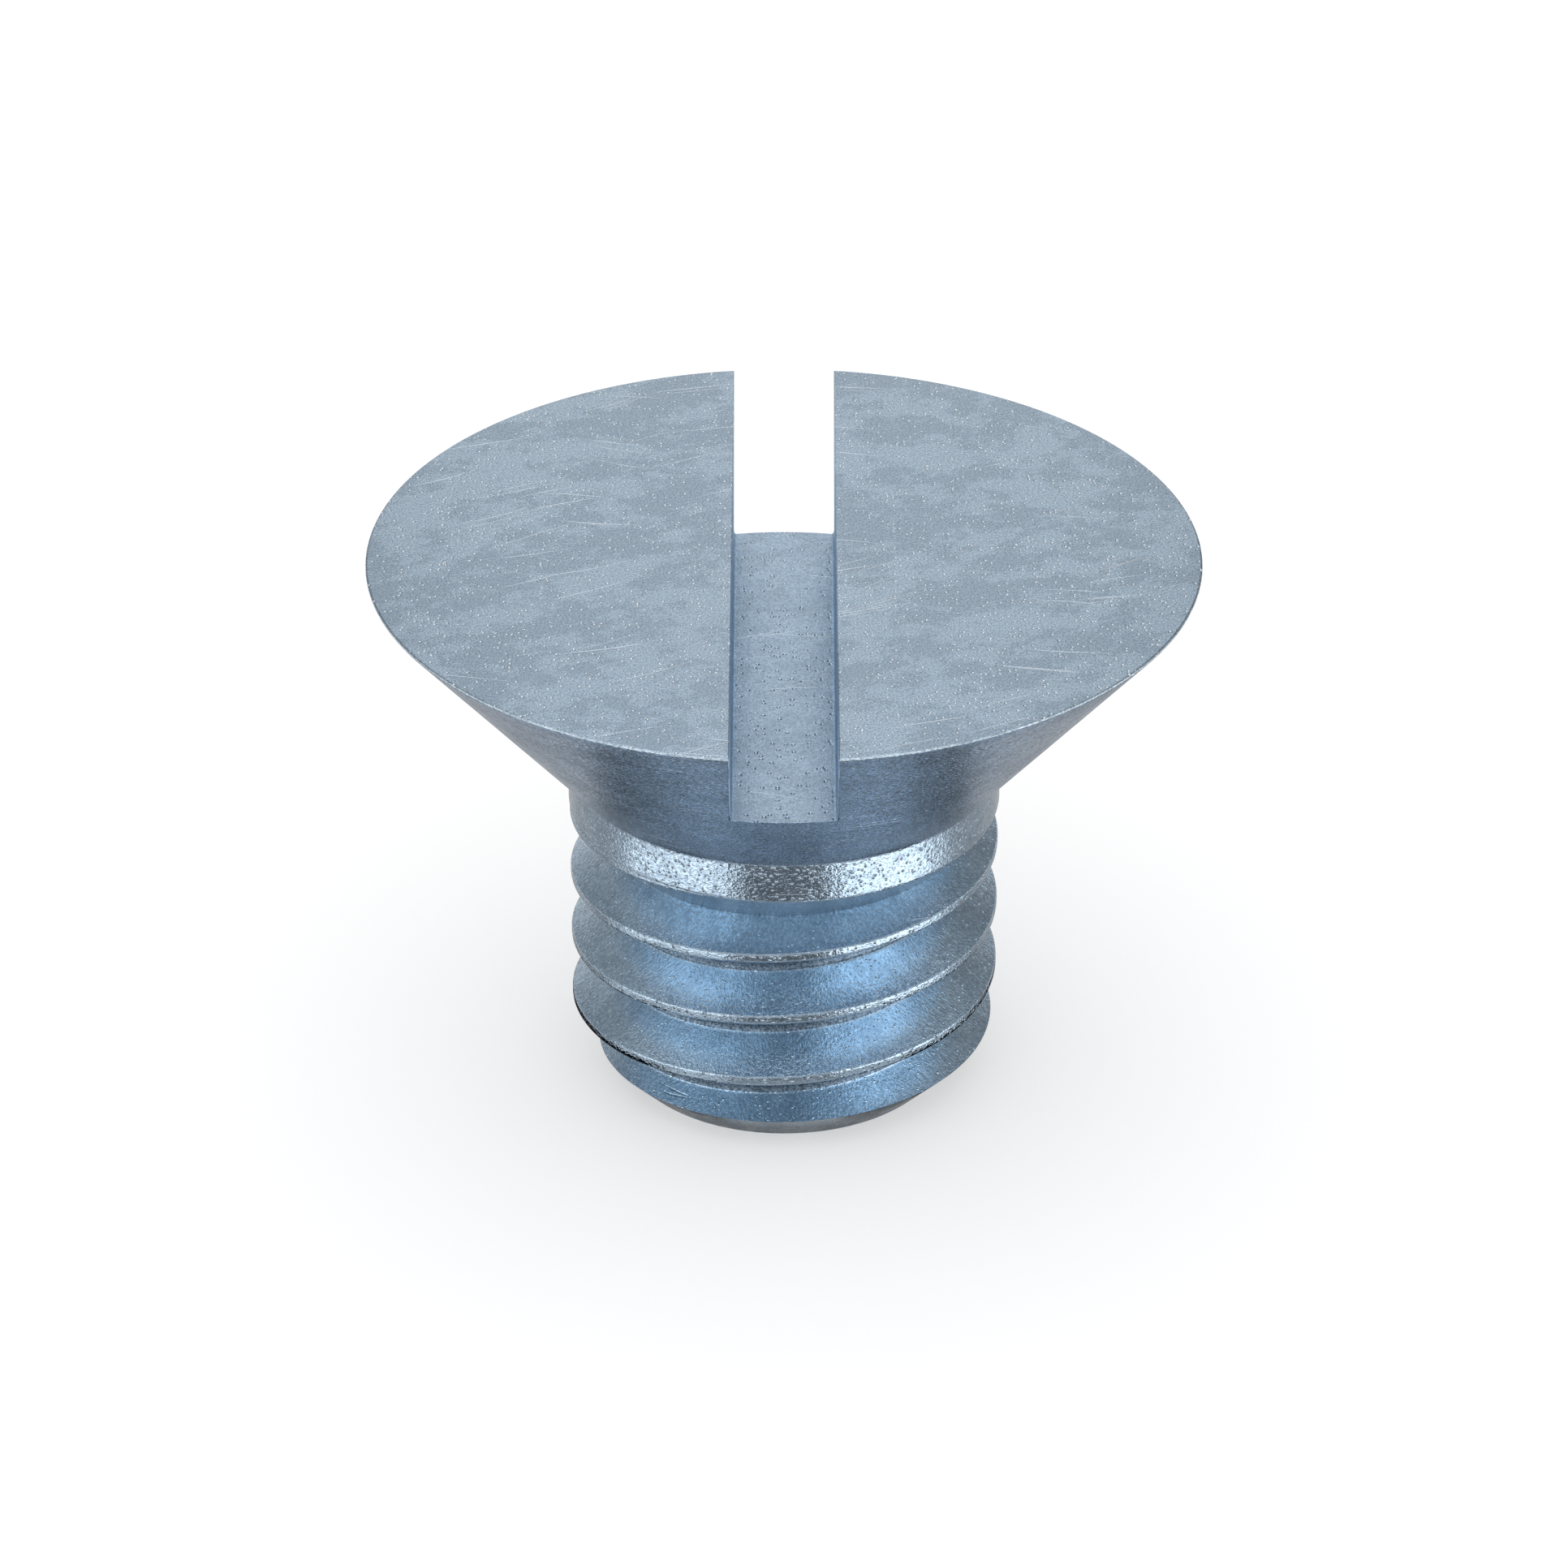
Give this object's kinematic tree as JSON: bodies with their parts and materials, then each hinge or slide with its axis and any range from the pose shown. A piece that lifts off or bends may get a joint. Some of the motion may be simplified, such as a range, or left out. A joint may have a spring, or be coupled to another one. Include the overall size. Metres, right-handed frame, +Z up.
{
  "type": "countersunk machine screw",
  "caption": "Short flat-head machine screw with a straight driver slot, an 82 degree countersunk cone, a plain neck and a right-hand thread with a chamfered flat tip.",
  "frame": {"origin": "middle of the flat tip face, on which the screw stands", "axes": "+Z runs up the screw's axis to the flat top of the head, and the driver slot runs along Y"},
  "size_m": [0.0092, 0.0092, 0.0064],
  "materials": {
    "plated_steel": "zinc plated and blue passivated, satin, with turning marks on the cone and scattered fine scratches and pits"
  },
  "bodies": {
    "root": {"screw": "plated_steel"}
  },
  "joints": []
}
